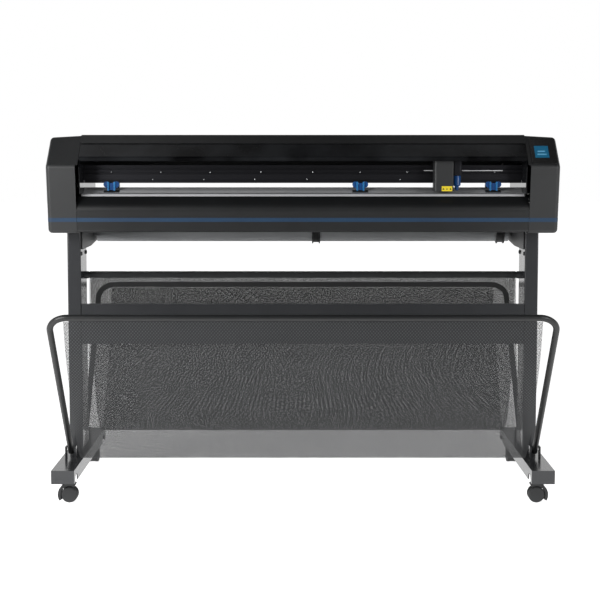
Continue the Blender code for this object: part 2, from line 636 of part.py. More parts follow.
def roll_rollers():
    """Two free rollers that carry the media roll, with two guide flanges on the front one."""
    end, tip = 0.692, 0.7042
    profile = [(0, tip), (JOURNAL_R, tip), (JOURNAL_R, end), (ROLLER_R, end), (ROLLER_R, -end),
               (JOURNAL_R, -end), (JOURNAL_R, -tip), (0, -tip)]
    for y, name in zip(ROLLER_Y, ("front_roller", "back_roller")):
        turned(name, profile, (0, y, ROLLER_Z), 'X', ALUMINIUM)
    bore, hub, rim, half, disc = ROLLER_R + 0.0006, 0.0282, 0.0325, 0.0135, 0.0045
    flange = [(bore, half), (rim, half), (rim, half - disc), (hub, half - disc),
              (hub, disc - half), (rim, disc - half), (rim, -half), (bore, -half)]
    for number, x in enumerate(FLANGE_X, start=1):
        turned(f"media_flange_{number}", flange, (x, ROLLER_Y[0], ROLLER_Z), 'X', BLACK,
               closed=True)


def caster(word, side, end):
    """Twin-wheel caster: a stem body that swivels and a pair of wheels on one axle.

    The two front casters are turned to roll sideways, the two rear ones to roll back and forth.
    """
    sideways = end < 0
    stem = Vector((side * CASTER_X, end * CASTER_Y, 0))
    hub = stem + (Vector((-side * TRAIL, 0, 0)) if sideways else Vector((0, TRAIL, 0)))
    hub.z = CASTER_R
    across = Vector((0, 1, 0)) if sideways else Vector((1, 0, 0))
    pivot = (stem.x, stem.y, FOOT_BOTTOM)
    body = rod(f"{word}_caster_body", (stem.x, stem.y, 0.0560), (stem.x, stem.y, FOOT_BOTTOM - GAP),
               0.0190, BLACK, 20, pivot)
    web = rod(f"{word}_web", hub - across * 0.0055, hub + across * 0.0055, 0.0215, None, 20)
    combine(body, web, 'UNION')
    neck_low = hub - Vector((0.0055, 0.0055, 0))
    neck_high = hub + Vector((0.0055, 0.0055, 0))
    neck = box(f"{word}_neck", (min(neck_low.x, stem.x - 0.0055), min(neck_low.y, stem.y - 0.0055),
                                0.035), (max(neck_high.x, stem.x + 0.0055),
                                         max(neck_high.y, stem.y + 0.0055), 0.0600), None)
    combine(body, neck, 'UNION')
    combine(body, rod(f"{word}_axle_hole", hub - across * 0.01, hub + across * 0.01, 0.0035, None,
                      12))
    profile = [(0, 0.0200), (0.0210, 0.0200), (CASTER_R, 0.0175), (CASTER_R, 0.0075),
               (0.0030, 0.0062), (0.0030, -0.0062), (CASTER_R, -0.0075), (CASTER_R, -0.0175),
               (0.0210, -0.0200), (0, -0.0200)]
    turned(f"{word}_caster_wheels", profile, hub, 'Y' if sideways else 'X', RUBBER)


def main():
    base_beam()
    side_plates()
    end_covers()
    outer_panels()
    platen()
    guide_beam()
    belt_drive()
    media_drive()
    electronics()
    touch_glass()
    carriage()
    pinch_units()
    stand()
    basket_frame("front_frame", -1)
    basket_frame("rear_frame", 1)
    net_panels()
    roll_rollers()
    for word, side, end in (("front_left", -1, -1), ("front_right", 1, -1), ("rear_left", -1, 1),
                            ("rear_right", 1, 1)):
        caster(word, side, end)


main()
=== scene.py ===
"""Looks of the vinyl cutter: its fine shapes, finishes and studio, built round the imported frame.

Sizes are metres in the frame's own axes: +X right, +Y back, +Z up, with the floor at Z 0.
"""

import logging
import math
from dataclasses import dataclass, replace
from enum import Enum
from typing import Callable, Sequence

import bmesh
import bpy
import numpy as np
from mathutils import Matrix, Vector


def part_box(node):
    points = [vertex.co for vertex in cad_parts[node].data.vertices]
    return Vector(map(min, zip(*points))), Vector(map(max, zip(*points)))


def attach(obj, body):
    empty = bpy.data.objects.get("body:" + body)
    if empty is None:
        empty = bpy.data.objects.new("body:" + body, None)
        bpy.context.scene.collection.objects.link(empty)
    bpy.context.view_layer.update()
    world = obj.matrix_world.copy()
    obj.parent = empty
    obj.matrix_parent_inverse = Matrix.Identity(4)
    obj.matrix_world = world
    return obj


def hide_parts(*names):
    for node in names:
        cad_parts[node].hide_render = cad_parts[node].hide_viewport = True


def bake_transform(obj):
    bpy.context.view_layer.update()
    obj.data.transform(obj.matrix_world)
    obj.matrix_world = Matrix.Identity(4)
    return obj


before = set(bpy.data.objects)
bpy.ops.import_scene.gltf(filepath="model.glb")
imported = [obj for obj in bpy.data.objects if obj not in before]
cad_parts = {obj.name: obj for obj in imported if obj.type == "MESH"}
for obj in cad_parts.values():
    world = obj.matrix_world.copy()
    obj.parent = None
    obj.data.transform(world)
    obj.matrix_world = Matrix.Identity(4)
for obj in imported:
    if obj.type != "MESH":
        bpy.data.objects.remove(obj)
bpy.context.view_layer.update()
LOG = logging.getLogger("vinyl_cutter")

Point = tuple[float, float]
Object = bpy.types.Object

# The head's section in (y, z)
FRONT_FOOT, NOSE, TOP_FRONT = (-0.180, 0.819), (-0.217, 1.0245), (-0.112, 1.117)
TOP_REAR, REAR_SHOULDER, REAR_FOOT = (0.140, 1.117), (0.190, 1.070), (0.190, 0.835)
COVER_BOTTOM = 0.816
STRIPE_LOW, STRIPE_HIGH = 0.8512, 0.8638
SIDES = ((-1, "left"), (1, "right"))
ENDS = ((-1, "front"), (1, "rear"))


# ---------------------------------------------------------------- finishes

def linear(code: str) -> tuple[float, float, float, float]:
    """Turn an sRGB hex colour into linear values.

    Args:
        code: six hex digits, with or without a leading hash.

    Returns:
        Linear red, green, blue and an alpha of one.
    """
    code = code.lstrip("#")
    shares = [int(code[i:i + 2], 16) / 255 for i in (0, 2, 4)]
    red, green, blue = (s / 12.92 if s <= 0.04045 else ((s + 0.055) / 1.055) ** 2.4 for s in shares)
    return red, green, blue, 1.0


def add_node(tree: bpy.types.NodeTree, kind: str, values: dict | None = None,
             links: dict | None = None, **settings: object) -> bpy.types.Node:
    """Add one node with its settings, socket values and links.

    Args:
        tree: the node tree it goes into.
        kind: the node's type name.
        values: default values by input socket.
        links: source sockets by input socket.
        **settings: properties of the node itself.

    Returns:
        The new node.
    """
    node = tree.nodes.new(kind)
    for key, value in settings.items():
        setattr(node, key, value)
    for key, value in (values or {}).items():
        node.inputs[key].default_value = value
    for key, source in (links or {}).items():
        tree.links.new(source, node.inputs[key])
    return node


class Grain(Enum):
    """How a surface was made, as the share of its grain size along X, Y and Z."""

    STIPPLE = (1.0, 1.0, 1.0)      # moulded, sprayed or cast: the same every way
    DRAWN_X = (90.0, 1.0, 1.0)     # extruded or brushed along X
    TURNED_X = (1.0, 60.0, 60.0)   # turned about X, so fine rings
    TURNED_Z = (60.0, 60.0, 1.0)   # turned about Z
    WOVEN = (2.0, 1.0, 1.0)        # threads twice as long across as they are wide


@dataclass(frozen=True)
class Finish:
    """One finish: even values on the shader's sockets, grain and patches on Object coordinates."""

    name: str
    slot: str
    colour: str
    patch: str
    roughness: float
    grain: Grain = Grain.STIPPLE
    grain_mm: float = 1.0
    relief_mm: float = 0.02
    patch_mm: float = 160.0
    rough_spread: float = 0.06
    metallic: float = 0.0
    ior: float = 1.5
    coat: float = 0.0
    glow: float = 0.0
    mesh_mm: float = 0.0
    lay: float = 45.0
    thread_share: float = 0.37
    pattern: float = 0.0
    # knots: the lighter colour of a painted highlight, glints on the yarn, mixed in over the diamonds
    knots: str = "#4c4d4f"

    def material(self) -> bpy.types.Material:
        """Return this finish's material, made on first use."""
        made = bpy.data.materials.get(self.name)
        if made:
            return made
        made = bpy.data.materials.new(self.name)
        made.use_nodes = True
        tree = made.node_tree
        shader = tree.nodes["Principled BSDF"]
        shader.inputs["Metallic"].default_value = self.metallic
        if not self.metallic:
            shader.inputs["IOR"].default_value = self.ior
        shader.inputs["Coat Weight"].default_value = self.coat
        place = add_node(tree, "ShaderNodeTexCoord").outputs["Object"]
        patches = add_node(tree, "ShaderNodeTexNoise", {"Scale": 1000 / self.patch_mm, "Detail": 4.0},
                           {"Vector": place})
        spread = add_node(tree, "ShaderNodeMapRange", {"From Min": 0.36, "From Max": 0.64},
                          {"Value": patches.outputs["Fac"]})
        tone = add_node(tree, "ShaderNodeMixRGB", {"Color1": linear(self.colour),
                                                   "Color2": linear(self.patch)},
                        {"Fac": spread.outputs["Result"]})
        # Painted highlight: the lighter knots colour is mixed in where the diamonds rise, standing for
        # glints on the yarn
        if self.pattern:
            knots = add_node(tree, "ShaderNodeMapRange", {"From Min": -0.3, "From Max": 0.9},
                             {"Value": self.diamonds(tree)})
            tone = add_node(tree, "ShaderNodeMixRGB", {"Color2": linear(self.knots)},
                            {"Fac": knots.outputs["Result"], "Color1": tone.outputs["Color"]})
        tree.links.new(tone.outputs["Color"], shader.inputs["Base Color"])
        scale = tuple(1000 / (self.grain_mm * share) for share in self.grain.value)
        stretched = add_node(tree, "ShaderNodeMapping", {"Scale": scale}, {"Vector": place})
        grain = add_node(tree, "ShaderNodeTexNoise", {"Scale": 1.0, "Detail": 2.0},
                         {"Vector": stretched.outputs["Vector"]})
        rough = add_node(tree, "ShaderNodeMapRange",
                         {"From Min": 0.3, "From Max": 0.7,
                          "To Min": max(self.roughness - self.rough_spread, 0.02),
                          "To Max": self.roughness + self.rough_spread},
                         {"Value": grain.outputs["Fac"]})
        tree.links.new(rough.outputs["Result"], shader.inputs["Roughness"])
        bump = add_node(tree, "ShaderNodeBump",
                        {"Strength": 1.0, "Distance": self.relief_mm / 1000},
                        {"Height": grain.outputs["Fac"]})
        tree.links.new(bump.outputs["Normal"], shader.inputs["Normal"])
        if self.mesh_mm:
            tree.links.new(self.threads(tree), shader.inputs["Alpha"])
        if self.glow:
            shader.inputs["Emission Color"].default_value = linear(self.colour)
            shader.inputs["Emission Strength"].default_value = self.glow
        return made


    def threads(self, tree: bpy.types.NodeTree) -> bpy.types.NodeSocket:
        """Add the net's crossing threads: one on a thread, nothing in the holes between."""
        flat = add_node(tree, "ShaderNodeUVMap", uv_map="cut").outputs["UV"]
        laid = add_node(tree, "ShaderNodeMapping",
                        {"Rotation": (0, 0, math.radians(self.lay)),
                         "Scale": (1000 / self.mesh_mm,) * 3}, {"Vector": flat})
        threads = add_node(tree, "ShaderNodeSeparateXYZ", None, {"Vector": laid.outputs["Vector"]})
        share = {1: self.thread_share}, {}
        if self.pattern:
            thick = add_node(tree, "ShaderNodeMath", {1: self.pattern, 2: self.thread_share},
                             {0: self.diamonds(tree)}, operation="MULTIPLY_ADD")
            share = {}, {1: thick.outputs["Value"]}
        open_along = []
        for axis in ("X", "Y"):
            place = add_node(tree, "ShaderNodeMath", None, {0: threads.outputs[axis]},
                             operation="FRACT")
            open_along.append(add_node(tree, "ShaderNodeMath", share[0],
                                       {0: place.outputs["Value"], **share[1]},
                                       operation="GREATER_THAN").outputs["Value"])
        hole = add_node(tree, "ShaderNodeMath", None, {0: open_along[0], 1: open_along[1]},
                        operation="MULTIPLY")
        return add_node(tree, "ShaderNodeMath", {0: 1.0}, {1: hole.outputs["Value"]},
                        operation="SUBTRACT").outputs["Value"]

    def diamonds(self, tree: bpy.types.NodeTree) -> bpy.types.NodeSocket:
        """Add the knit's diamonds, -1 to 1 over 9 by 11 mm, deepest near the rail; they thicken the
        threads and place the lighter painted highlight on the yarn.
        """
        flat = add_node(tree, "ShaderNodeUVMap", uv_map="cut").outputs["UV"]
        parts = add_node(tree, "ShaderNodeSeparateXYZ", None, {"Vector": flat})
        waves = []
        for axis, repeat_mm in (("X", 9.2), ("Y", 11.4)):
            angle = add_node(tree, "ShaderNodeMath", {1: math.tau * 1000 / repeat_mm},
                             {0: parts.outputs[axis]}, operation="MULTIPLY")
            waves.append(add_node(tree, "ShaderNodeMath", None, {0: angle.outputs["Value"]},
                                  operation="COSINE").outputs["Value"])
        crossed = add_node(tree, "ShaderNodeMath", None, {0: waves[0], 1: waves[1]},
                           operation="MULTIPLY")
        depth = add_node(tree, "ShaderNodeMapRange", {"From Min": 0.05, "From Max": 0.35},
                         {"Value": parts.outputs["Y"]})
        return add_node(tree, "ShaderNodeMath", None,
                        {0: crossed.outputs["Value"], 1: depth.outputs["Result"]},
                        operation="MULTIPLY").outputs["Value"]


# ABS moulded in a spark-eroded tool: an even dull black with a fine stipple that breaks highlights up
COVER_ABS = Finish("moulded_abs", "black_plastic", "#1f2021", "#222324", 0.50, grain_mm=0.9,
                   relief_mm=0.03)
# Aluminium sheet panels, powder coated matt: darker than the covers, faint orange peel
PANEL_PAINT = Finish("matt_panel_paint", "black_plastic", "#141516", "#18191a", 0.36, grain_mm=2.2,
                     relief_mm=0.02)
# The same sheet with a gloss coat inside the head: dark straight on, a mirror at a glancing angle
PANEL_GLOSS = Finish("gloss_panel_paint", "black_plastic", "#17181a", "#1b1c1e", 0.08, grain_mm=30,
                     relief_mm=0.02, rough_spread=0.02)
# Smoked acrylic, pressed: deep and clear, so it mirrors the room in soft shapes
SMOKED_ACRYLIC = Finish("smoked_acrylic", "smoked_plastic", "#050506", "#1f2022", 0.16, grain_mm=40,
                        relief_mm=0.05, rough_spread=0.02, ior=1.22)
# Polyester powder coat on steel: black, slightly rough, orange peel, bright at a glancing angle
POWDER_COAT = Finish("black_powder_coat", "black_paint", "#303133", "#333436", 0.20, grain_mm=1.8,
                     relief_mm=0.012)
# Thicker matt powder coat on the basket's bent steel tubes
TUBE_COAT = Finish("matt_powder_coat", "black_paint", "#141516", "#18191a", 0.42, grain_mm=1.8,
                   relief_mm=0.015)
# Extruded aluminium, anodised black: satin with die lines along its length
BLACK_ANODISED = Finish("black_anodised", "black_anodised", "#242527", "#292a2c", 0.36,
                        Grain.DRAWN_X, 0.8, 0.012)
# Sheet aluminium, anodised natural: pale grey satin with lines along its length
SATIN_ALUMINIUM = Finish("satin_aluminium", "aluminium", "#cfd0d2", "#d6d7d9", 0.30, Grain.DRAWN_X,
                         0.7, 0.012, metallic=0.15)
# Extruded tube, clear anodised: grey metal with fine rings from turning
TUBE_ALUMINIUM = Finish("turned_aluminium", "aluminium", "#9b9d9f", "#a3a5a7", 0.42, Grain.TURNED_X,
                        0.8, 0.02, metallic=0.25)
# Ground and knurled steel: brighter, with tight rings
GROUND_STEEL = Finish("ground_steel", "steel", "#b5b6b8", "#c9cacc", 0.26, Grain.TURNED_X, 0.6, 0.04,
                      metallic=1.0)
# Zinc-plated screw heads: small and bright
ZINC_STEEL = Finish("zinc_plated_steel", "steel", "#d5d7d9", "#c4c6c8", 0.25, grain_mm=0.5,
                    relief_mm=0.01, metallic=1.0)
# Dyed ABS moulding: saturated blue, slightly glossy
BLUE_ABS = Finish("blue_abs", "blue_plastic", "#0a3f78", "#0c4886", 0.28, grain_mm=0.8,
                  relief_mm=0.02)
# The same blue ABS on the grips, coloured lighter as a painted highlight
HIGHLIGHT_BLUE_ABS = Finish("highlight_blue_abs", "blue_plastic", "#1f6ea8", "#2475b0", 0.30, grain_mm=0.8,
                       relief_mm=0.02)
# Cast vinyl tape: flat blue with a slight sheen
BLUE_VINYL = Finish("blue_vinyl_tape", "blue_plastic", "#082c48", "#0a324f", 0.55, grain_mm=3.0,
                    relief_mm=0.01)
# Polyurethane and rubber: dull, nearly even
TYRE_RUBBER = Finish("moulded_rubber", "rubber", "#222324", "#2a2b2c", 0.62, grain_mm=0.8,
                     relief_mm=0.04)
# Nylon caster mouldings and clips: dark, a little glossier than the tyres
NYLON = Finish("moulded_nylon", "black_plastic", "#1c1d1e", "#222324", 0.48, grain_mm=0.9,
               relief_mm=0.03)
# Polyester net, spun black yarn: matt, each thread slightly furry
NET_YARN = Finish("polyester_net", "net", "#161718", "#1b1c1d", 0.80, grain_mm=0.5, relief_mm=0.10,
                  rough_spread=0.08, mesh_mm=1.6)
# The front outer wall carries the pattern, so its yarn also gets the painted highlight of lighter knots
NET_WALLS = {("front", "outer"): replace(NET_YARN, name="polyester_net_front", pattern=0.12),
             ("front", "inner"): replace(NET_YARN, name="polyester_net_inner", lay=15.0),
             ("rear", "inner"): replace(NET_YARN, name="polyester_net_back", lay=75.0,
                                        thread_share=0.46),
             ("rear", "outer"): NET_YARN}
# Woven polyester tape that closes the net over the rails: fine ribs along it
WOVEN_TAPE = Finish("woven_tape", "net", "#232425", "#2a2b2c", 0.78, Grain.WOVEN, 0.7, 0.12)
# Toughened glass over the display: black and mirror smooth
DISPLAY_GLASS = Finish("display_glass", "display_glass", "#08090b", "#0a0b0d", 0.05, grain_mm=60,
                       relief_mm=0.01, rough_spread=0.01, ior=1.52)
# Lit panel behind the glass: even blue light, and pale marks
LIT_PANEL = Finish("lit_panel", "", "#0a4f72", "#0d6a80", 0.30, glow=0.30, relief_mm=0.0)
LIT_MARK = Finish("lit_mark", "", "#5f9fc0", "#6fb0cf", 0.30, glow=0.25, relief_mm=0.0)
# Printed vinyl sticker: warm yellow with black marks
YELLOW_VINYL = Finish("yellow_vinyl", "", "#dcc422", "#e4cd30", 0.42, grain_mm=2.0, relief_mm=0.01)
BLACK_INK = Finish("black_ink", "", "#1a1a18", "#20201e", 0.5, grain_mm=2.0, relief_mm=0.01)
# White acetal on the thin strip along the beam; its white is partly a painted highlight for the shine seen
# there
GLINT_WHITE_ACETAL = Finish("glint_white_acetal", "", "#d9dadb", "#cfd0d2", 0.38, grain_mm=1.5, relief_mm=0.02)
# Glass-filled epoxy board with solder mask: green, glossy
SOLDER_MASK = Finish("solder_mask", "board", "#114a28", "#16552e", 0.30, grain_mm=2.5, relief_mm=0.05)


# ---------------------------------------------------------------- modelling by hand

def deselect() -> None:
    """Leave nothing selected, in object mode."""
    if bpy.context.mode != "OBJECT":
        bpy.ops.object.mode_set(mode="OBJECT")
    bpy.ops.object.select_all(action="DESELECT")


def select_only(*chosen: Object) -> None:
    """Select these objects and nothing else; the last becomes active."""
    deselect()
    for obj in chosen:
        obj.select_set(True)
    bpy.context.view_layer.objects.active = chosen[-1]


class Editing:
    """Edit mode on one object, with the faces or edges that a test picks selected."""

    def __init__(self, obj: Object, kind: str = "FACE", test: Callable | None = None) -> None:
        """Keep the object, the kind of element and the test.

        Args:
            obj: the mesh object to edit.
            kind: "FACE", "EDGE" or "VERT".
            test: says of each element whether it is picked; all are without one.
        """
        self.obj, self.kind, self.test = obj, kind, test

    def __enter__(self) -> "Editing":
        """Enter edit mode and select."""
        select_only(self.obj)
        bpy.ops.object.mode_set(mode="EDIT")
        bpy.ops.mesh.select_mode(type=self.kind)
        self.pick(self.test)
        return self

    def pick(self, test: Callable | None) -> None:
        """Select the elements that pass the test, or all of them."""
        bpy.ops.mesh.select_all(action="SELECT" if test is None else "DESELECT")
        if test is None:
            return
        mesh = bmesh.from_edit_mesh(self.obj.data)
        mesh.normal_update()
        for item in {"FACE": mesh.faces, "EDGE": mesh.edges, "VERT": mesh.verts}[self.kind]:
            if test(item):
                item.select_set(True)
        mesh.select_flush_mode()
        bmesh.update_edit_mesh(self.obj.data)

    def __exit__(self, *_: object) -> None:
        """Back to object mode."""
        bpy.ops.object.mode_set(mode="OBJECT")


def settle(obj: Object, name: str) -> Object:
    """Name an object and put its place into its mesh."""
    obj.name = name
    select_only(obj)
    bpy.ops.object.transform_apply(location=True, rotation=True, scale=True)
    return obj


def face_out(obj: Object) -> Object:
    """Merge doubles and turn every face outwards."""
    with Editing(obj):
        bpy.ops.mesh.remove_doubles(threshold=1e-6)
        bpy.ops.mesh.normals_make_consistent(inside=False)
    return obj


def apply_modifier(obj: Object, kind: str, **settings: object) -> Object:
    """Add one modifier, set it and apply it."""
    modifier = obj.modifiers.new(kind.lower(), kind)
    for key, value in settings.items():
        setattr(modifier, key, value)
    select_only(obj)
    bpy.ops.object.modifier_apply(modifier=modifier.name)
    return obj


def soften(obj: Object, width: float, segments: int = 2, angle: float = 32.0) -> Object:
    """Round the edges sharper than an angle, in degrees, to a width."""
    return apply_modifier(obj, "BEVEL", width=width, segments=segments, limit_method="ANGLE",
                          angle_limit=math.radians(angle), miter_outer="MITER_ARC")


def carve(obj: Object, cutter: Object) -> Object:
    """Cut one closed shape out of another and remove the cutter."""
    apply_modifier(obj, "BOOLEAN", object=cutter, operation="DIFFERENCE", solver="EXACT")
    bpy.data.objects.remove(cutter, do_unlink=True)
    return obj


def box(name: str, low: Sequence[float], high: Sequence[float]) -> Object:
    """Add a block between two corners."""
    deselect()
    middle = [(a + b) / 2 for a, b in zip(low, high)]
    bpy.ops.mesh.primitive_cube_add(size=1, location=middle)
    obj = bpy.context.object
    obj.scale = [b - a for a, b in zip(low, high)]
    return settle(obj, name)


def rod(name: str, start: Sequence[float], end: Sequence[float], radius: float, sides: int = 32,
        tip: float | None = None) -> Object:
    """Add a round bar, or a cone where tip gives the radius at its end."""
    deselect()
    first, last = Vector(start), Vector(end)
    bpy.ops.mesh.primitive_cone_add(vertices=sides, radius1=radius,
                                    radius2=radius if tip is None else tip,
                                    depth=(last - first).length, location=(first + last) / 2)
    obj = bpy.context.object
    obj.rotation_mode = "QUATERNION"
    obj.rotation_quaternion = (last - first).to_track_quat("Z", "Y")
    settle(obj, name)
    obj.rotation_mode = "XYZ"
    return obj


def spread(axis: str, along: float, pair: Point) -> Vector:
    """Put a pair of section coordinates at a distance along an axis."""
    a, b = pair
    return Vector({"X": (along, a, b), "Y": (a, along, b), "Z": (a, b, along)}[axis])


def chain(name: str, points: Sequence[Vector], closed: bool) -> Object:
    """Add a ring primitive and move its corners to these points; open it if it isn't closed."""
    deselect()
    bpy.ops.mesh.primitive_circle_add(vertices=len(points), fill_type="NGON" if closed else "NOTHING")
    obj = settle(bpy.context.object, name)
    for vert, point in zip(obj.data.vertices, points):
        vert.co = point
    if not closed:
        ends = {0, len(points) - 1}
        with Editing(obj, "EDGE", lambda e: {v.index for v in e.verts} == ends):
            bpy.ops.mesh.delete(type="EDGE")
    return obj


def prism(name: str, outline: Sequence[Point], axis: str, low: float, high: float) -> Object:
    """Extrude a closed section along an axis."""
    obj = chain(name, [spread(axis, low, p) for p in outline], True)
    with Editing(obj):
        bpy.ops.mesh.extrude_region_move(
            TRANSFORM_OT_translate={"value": spread(axis, high - low, (0, 0))})
    return face_out(obj)


def folded(name: str, path: Sequence[Point], low: float, high: float, thickness: float,
           outward: Point) -> Object:
    """Extrude an open section along X into a sheet whose outer face follows the path."""
    obj = chain(name, [spread("X", low, p) for p in path], False)
    with Editing(obj, "EDGE"):
        bpy.ops.mesh.extrude_region_move(
            TRANSFORM_OT_translate={"value": (high - low, 0, 0)})
        bpy.ops.mesh.select_all(action="SELECT")
        bpy.ops.mesh.normals_make_consistent(inside=False)
    normal = obj.data.polygons[0].normal
    if normal.y * outward[0] + normal.z * outward[1] < 0:
        with Editing(obj):
            bpy.ops.mesh.flip_normals()
    return apply_modifier(obj, "SOLIDIFY", thickness=thickness, offset=-1)


def turned(name: str, profile: Sequence[Point], centre: Sequence[float], axis: str,
           steps: int = 32) -> Object:
    """Spin an open profile of (radius, height) about an axis through a centre."""
    way = Vector({"X": (1, 0, 0), "Y": (0, 1, 0), "Z": (0, 0, 1)}[axis])
    arm = Vector((0, 0, 1)) if axis != "Z" else Vector((1, 0, 0))
    middle = Vector(centre)
    obj = chain(name, [middle + way * h + arm * r for r, h in profile], False)
    with Editing(obj, "EDGE"):
        bpy.ops.mesh.spin(steps=steps, angle=math.tau, center=middle, axis=way)
    return face_out(obj)


def tube(name: str, path: Sequence[Vector], radius: float, rounds: int = 6) -> Object:
    """Sweep a round section along a path, with closed ends."""
    curve = bpy.data.curves.new(name, "CURVE")
    curve.dimensions, curve.bevel_depth = "3D", radius
    curve.bevel_resolution, curve.use_fill_caps = rounds, True
    spline = curve.splines.new("POLY")
    spline.points.add(len(path) - 1)
    for knot, point in zip(spline.points, path):
        knot.co = (*point, 1)
    obj = bpy.data.objects.new(name, curve)
    bpy.context.scene.collection.objects.link(obj)
    select_only(obj)
    bpy.ops.object.convert(target="MESH")
    return face_out(bpy.context.object)


def joined(name: str, *parts: Object) -> Object:
    """Join several meshes into one piece."""
    select_only(*parts)
    bpy.ops.object.join()
    bpy.context.object.name = name
    return bpy.context.object


def copied(obj: Object, name: str, shift: Sequence[float] = (0, 0, 0)) -> Object:
    """Copy a piece with its own mesh, and move the copy."""
    select_only(obj)
    bpy.ops.object.duplicate(linked=False)
    twin = bpy.context.object
    twin.location = shift
    return settle(twin, name)


def mirrored(obj: Object, name: str, axis: int = 0) -> Object:
    """Copy a piece to the other side of the middle."""
    twin = copied(obj, name)
    twin.scale[axis] = -1
    settle(twin, name)
    return face_out(twin)


def merged_copy(node: str, name: str) -> Object:
    """Copy a CAD node's mesh into a new piece, with its triangles joined into clean faces."""
    obj = bpy.data.objects.new(name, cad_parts[node].data.copy())
    bpy.context.scene.collection.objects.link(obj)
    with Editing(obj):
        bpy.ops.mesh.remove_doubles(threshold=1e-5)
        bpy.ops.mesh.dissolve_limited(angle_limit=math.radians(0.6))
    return obj


def rounded(points: Sequence[Point], radii: Sequence[float], steps: int = 6,
            closed: bool = True) -> list[Point]:
    """Round the corners of an outline.

    Args:
        points: the outline's corners.
        radii: one radius for each corner.
        steps: short sides that make one arc.
        closed: whether the last corner joins the first.

    Returns:
        The outline with an arc for each corner of some radius.
    """
    made: list[Point] = []
    count = len(points)
    for i, (corner, radius) in enumerate(zip(points, radii)):
        here = Vector(corner)
        if radius <= 0 or (not closed and i in (0, count - 1)):
            made.append(tuple(here))
            continue
        back = (Vector(points[i - 1]) - here).normalized()
        on = (Vector(points[(i + 1) % count]) - here).normalized()
        half = back.angle(on) / 2
        centre = here + (back + on).normalized() * (radius / math.sin(half))
        start = here + back * (radius / math.tan(half)) - centre
        end = here + on * (radius / math.tan(half)) - centre
        sweep = start.angle_signed(end)
        for step in range(steps + 1):
            angle = -sweep * step / steps
            turn = Vector((start.x * math.cos(angle) - start.y * math.sin(angle),
                           start.x * math.sin(angle) + start.y * math.cos(angle)))
            made.append(tuple(centre + turn))
    return made


def complete(obj: Object, finish: Finish, body: str = "root", nodes: Sequence[str] = (),
             smooth: float = 32.0) -> Object:
    """Give a finished piece its material, shading and body, and hide the CAD nodes it stands for.

    Args:
        obj: the piece, in place.
        finish: its finish.
        body: the CAD body it rides on; "" leaves it on no body.
        nodes: the CAD nodes that it replaces.
        smooth: edges flatter than this many degrees are shaded smooth.

    Returns:
        The piece.
    """
    obj.data.materials.clear()
    obj.data.materials.append(finish.material())
    obj.data.polygons.foreach_set("material_index", [0] * len(obj.data.polygons))
    select_only(obj)
    bpy.ops.object.shade_smooth_by_angle(angle=math.radians(smooth))
    if len(obj.data.polygons) < 20000:
        apply_modifier(obj, "WEIGHTED_NORMAL", keep_sharp=True, weight=60)
    if body:
        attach(obj, body)
    if nodes:
        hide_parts(*nodes)
    LOG.info("%s: %s, %d faces, on %s", obj.name, finish.name, len(obj.data.polygons), body or "two")
    return obj


def refined(node: str, finish: Finish, body: str, width: float = 0.0, segments: int = 2,
            smooth: float = 32.0) -> Object:
    """Stand in for a CAD node with a merged copy of softened edges."""
    obj = merged_copy(node, f"{node}_skin")
    if width:
        soften(obj, width, segments)
    return complete(obj, finish, body, [node], smooth)


# ---------------------------------------------------------------- the head

def front_face(z: float) -> float:
    """Y of the head's front face at a height."""
    share = (z - FRONT_FOOT[1]) / (NOSE[1] - FRONT_FOOT[1])
    return FRONT_FOOT[0] + share * (NOSE[0] - FRONT_FOOT[0])


